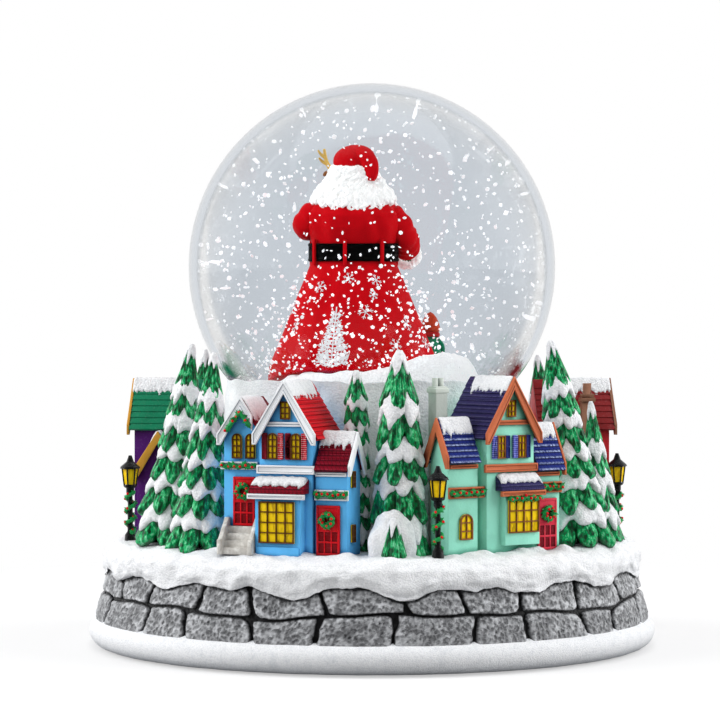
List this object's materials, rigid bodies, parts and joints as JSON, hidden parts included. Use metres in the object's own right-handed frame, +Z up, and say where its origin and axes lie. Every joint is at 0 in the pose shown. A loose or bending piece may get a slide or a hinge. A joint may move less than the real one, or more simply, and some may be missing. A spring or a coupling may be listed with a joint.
{
  "type": "musical snow globe",
  "caption": "Water-filled glass snow globe with a robed winter figure, on a stone-faced base ringed by painted houses, pines and lamp posts, with a wind-up music movement.",
  "frame": {"origin": "on the table under the middle of the base", "axes": "+Z up; -Y faces the two front houses, as in the picture; +X to the right of that view"},
  "size_m": [0.185, 0.185, 0.1831],
  "materials": {
    "clear_glass": "polished, clear",
    "water": "clear liquid",
    "glitter": "glittering flakes",
    "stopper_rubber": "moulded",
    "snow_resin": "cast resin painted white, stippled",
    "robe_red": "cast resin, gloss red paint",
    "belt_black": "gloss black paint",
    "fur_white": "carved strands, white paint",
    "skin": "painted",
    "mitten_green": "painted",
    "toy_brown": "painted",
    "toy_gold": "gold paint",
    "toy_green": "painted",
    "mortar": "dark wash",
    "stone_grey": "pitted, dry brushed",
    "cover_black": "moulded",
    "felt_green": "felt",
    "zinc_screw": "zinc plated",
    "zinc_bed": "die cast",
    "movement_brass": "turned",
    "spring_steel": "blued",
    "steel": "ground",
    "wall_blue": "painted resin",
    "roof_red": "painted resin",
    "trim_white": "painted resin",
    "door_red": "painted resin",
    "step_grey": "painted resin",
    "pane_yellow": "painted resin",
    "sash_brown": "painted resin",
    "shutter_maroon": "painted resin",
    "wall_mint": "painted resin",
    "roof_navy": "painted resin",
    "trim_copper": "painted resin",
    "door_pink": "painted resin",
    "chimney_pale": "painted resin",
    "shutter_navy": "painted resin",
    "wall_purple": "painted resin",
    "roof_green": "painted resin",
    "trim_ochre": "painted resin",
    "wall_red": "painted resin",
    "roof_maroon": "painted resin",
    "trim_brown": "painted resin",
    "lamp_black": "painted metal look",
    "pine_green": "metallic green paint with snow"
  },
  "bodies": {
    "globe": {"glass_globe": "clear_glass", "water": "water", "snow_flakes": "glitter", "stopper": "stopper_rubber", "snow_mound": "snow_resin", "santa_robe": "robe_red", "santa_belt": "belt_black", "santa_hat": "robe_red", "santa_fur": "fur_white", "santa_hair": "fur_white", "santa_face": "skin", "santa_mittens": "mitten_green", "toy_reindeer": "toy_brown", "toy_antlers": "toy_gold", "toy_doll": "toy_green", "base_casting": "mortar", "upper_stones": "stone_grey", "lower_stones": "stone_grey", "snow_rim": "snow_resin", "snow_bank": "snow_resin", "globe_collar": "snow_resin", "bottom_cover": "cover_black", "felt_ring": "felt_green", "cover_screws": "zinc_screw", "movement_bedplate": "zinc_bed", "spring_barrel": "movement_brass", "mainspring": "spring_steel", "note_comb": "steel", "movement_screws": "zinc_screw", "governor_housing": "zinc_bed", "blue_house": "wall_blue", "blue_house_roofs": "roof_red", "blue_house_trim": "trim_white", "blue_house_doors": "door_red", "blue_house_steps": "step_grey", "blue_house_panes": "pane_yellow", "blue_house_sashes": "sash_brown", "blue_house_shutters": "shutter_maroon", "mint_house": "wall_mint", "mint_house_roofs": "roof_navy", "mint_house_trim": "trim_copper", "mint_house_doors": "door_pink", "mint_house_chimney": "chimney_pale", "mint_house_panes": "pane_yellow", "mint_house_sashes": "sash_brown", "mint_house_shutters": "shutter_navy", "purple_house": "wall_purple", "purple_house_roofs": "roof_green", "purple_house_trim": "trim_ochre", "red_house": "wall_red", "red_house_roofs": "roof_maroon", "red_house_trim": "trim_brown", "lamp_posts": "lamp_black", "lamp_panes": "pane_yellow", "tall_pines": "pine_green", "small_pines": "pine_green"},
    "winder": {"winding_arbor": "steel", "winding_key": "movement_brass"},
    "cylinder": {"tune_cylinder": "movement_brass", "cylinder_arbor": "steel"}
  },
  "joints": [
    {"name": "key_turn", "type": "hinge", "parent": "globe", "child": "winder", "pos_m": [-0.01, 0.003, 0.018], "axis": [0, 0, 1], "range_deg": [0, 1980]},
    {"name": "cylinder_turn", "type": "hinge", "parent": "globe", "child": "cylinder", "pos_m": [0.012, 0.003, 0.0356], "axis": [1, 0, 0], "range_deg": [0, 4950]}
  ],
  "couplings": [
    {"joint": "cylinder_turn", "follows": "key_turn", "ratio": 2.5}
  ]
}
